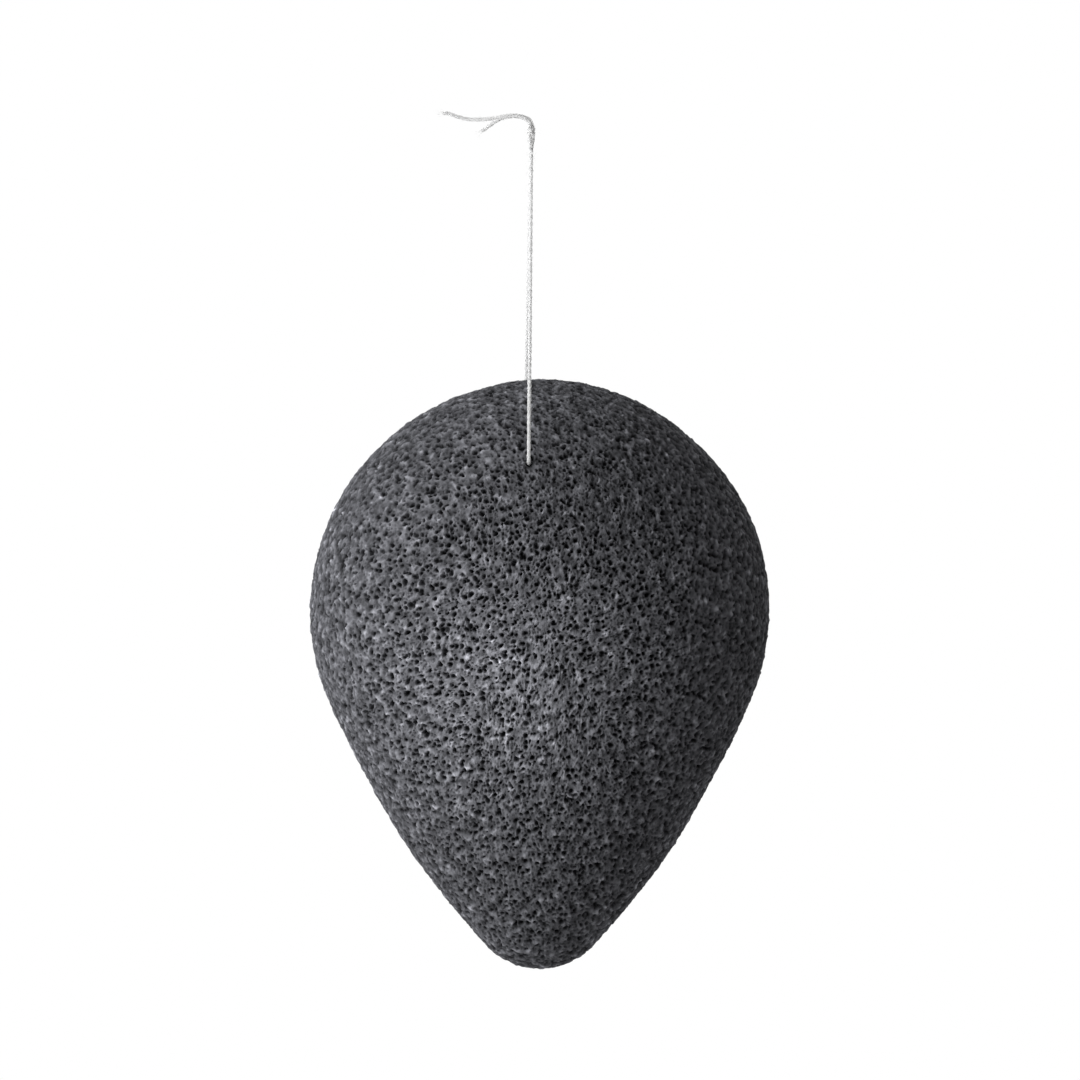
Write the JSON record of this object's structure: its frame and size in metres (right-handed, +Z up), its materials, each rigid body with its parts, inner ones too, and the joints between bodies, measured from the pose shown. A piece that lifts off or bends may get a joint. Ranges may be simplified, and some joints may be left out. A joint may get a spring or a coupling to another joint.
{
  "type": "konjac sponge",
  "caption": "Water-drop face sponge of charcoal konjac foam, domed in front and flat behind, hung on a knotted loop of cotton thread.",
  "frame": {"origin": "top of the open thread loop, where its two runs part just under the knot and a hook takes it", "axes": "+Z up along the hanging thread, -Y the way the dome faces, +X to the right as the dome is seen"},
  "size_m": [0.08, 0.033, 0.1485],
  "materials": {
    "charcoal_foam": "matt open-cell konjac foam coloured with charcoal, full of small round pores",
    "cotton_thread": "matt white twisted cotton thread"
  },
  "bodies": {
    "tied_end": {"string_knot": "cotton_thread", "string_tail_long": "cotton_thread", "string_tail_short": "cotton_thread"},
    "neck": {"string_neck": "cotton_thread"},
    "loop": {"string_front_run": "cotton_thread", "string_channel_run": "cotton_thread", "string_back_run": "cotton_thread"},
    "sponge": {"sponge_body": "charcoal_foam"}
  },
  "joints": [
    {"name": "hang_twist", "type": "hinge", "parent": "tied_end", "child": "neck", "pos_m": [0, 0, 0.0029], "axis": [0, 0, 1], "range_deg": [-180, 180]},
    {"name": "hang_swing", "type": "hinge", "parent": "neck", "child": "loop", "pos_m": [0, 0, 0], "axis": [0, 1, 0], "range_deg": [-60, 60]},
    {"name": "sponge_turn", "type": "hinge", "parent": "loop", "child": "sponge", "pos_m": [-0.0004, 0, -0.0543], "axis": [0, 1, 0], "range_deg": [-15, 15]}
  ]
}
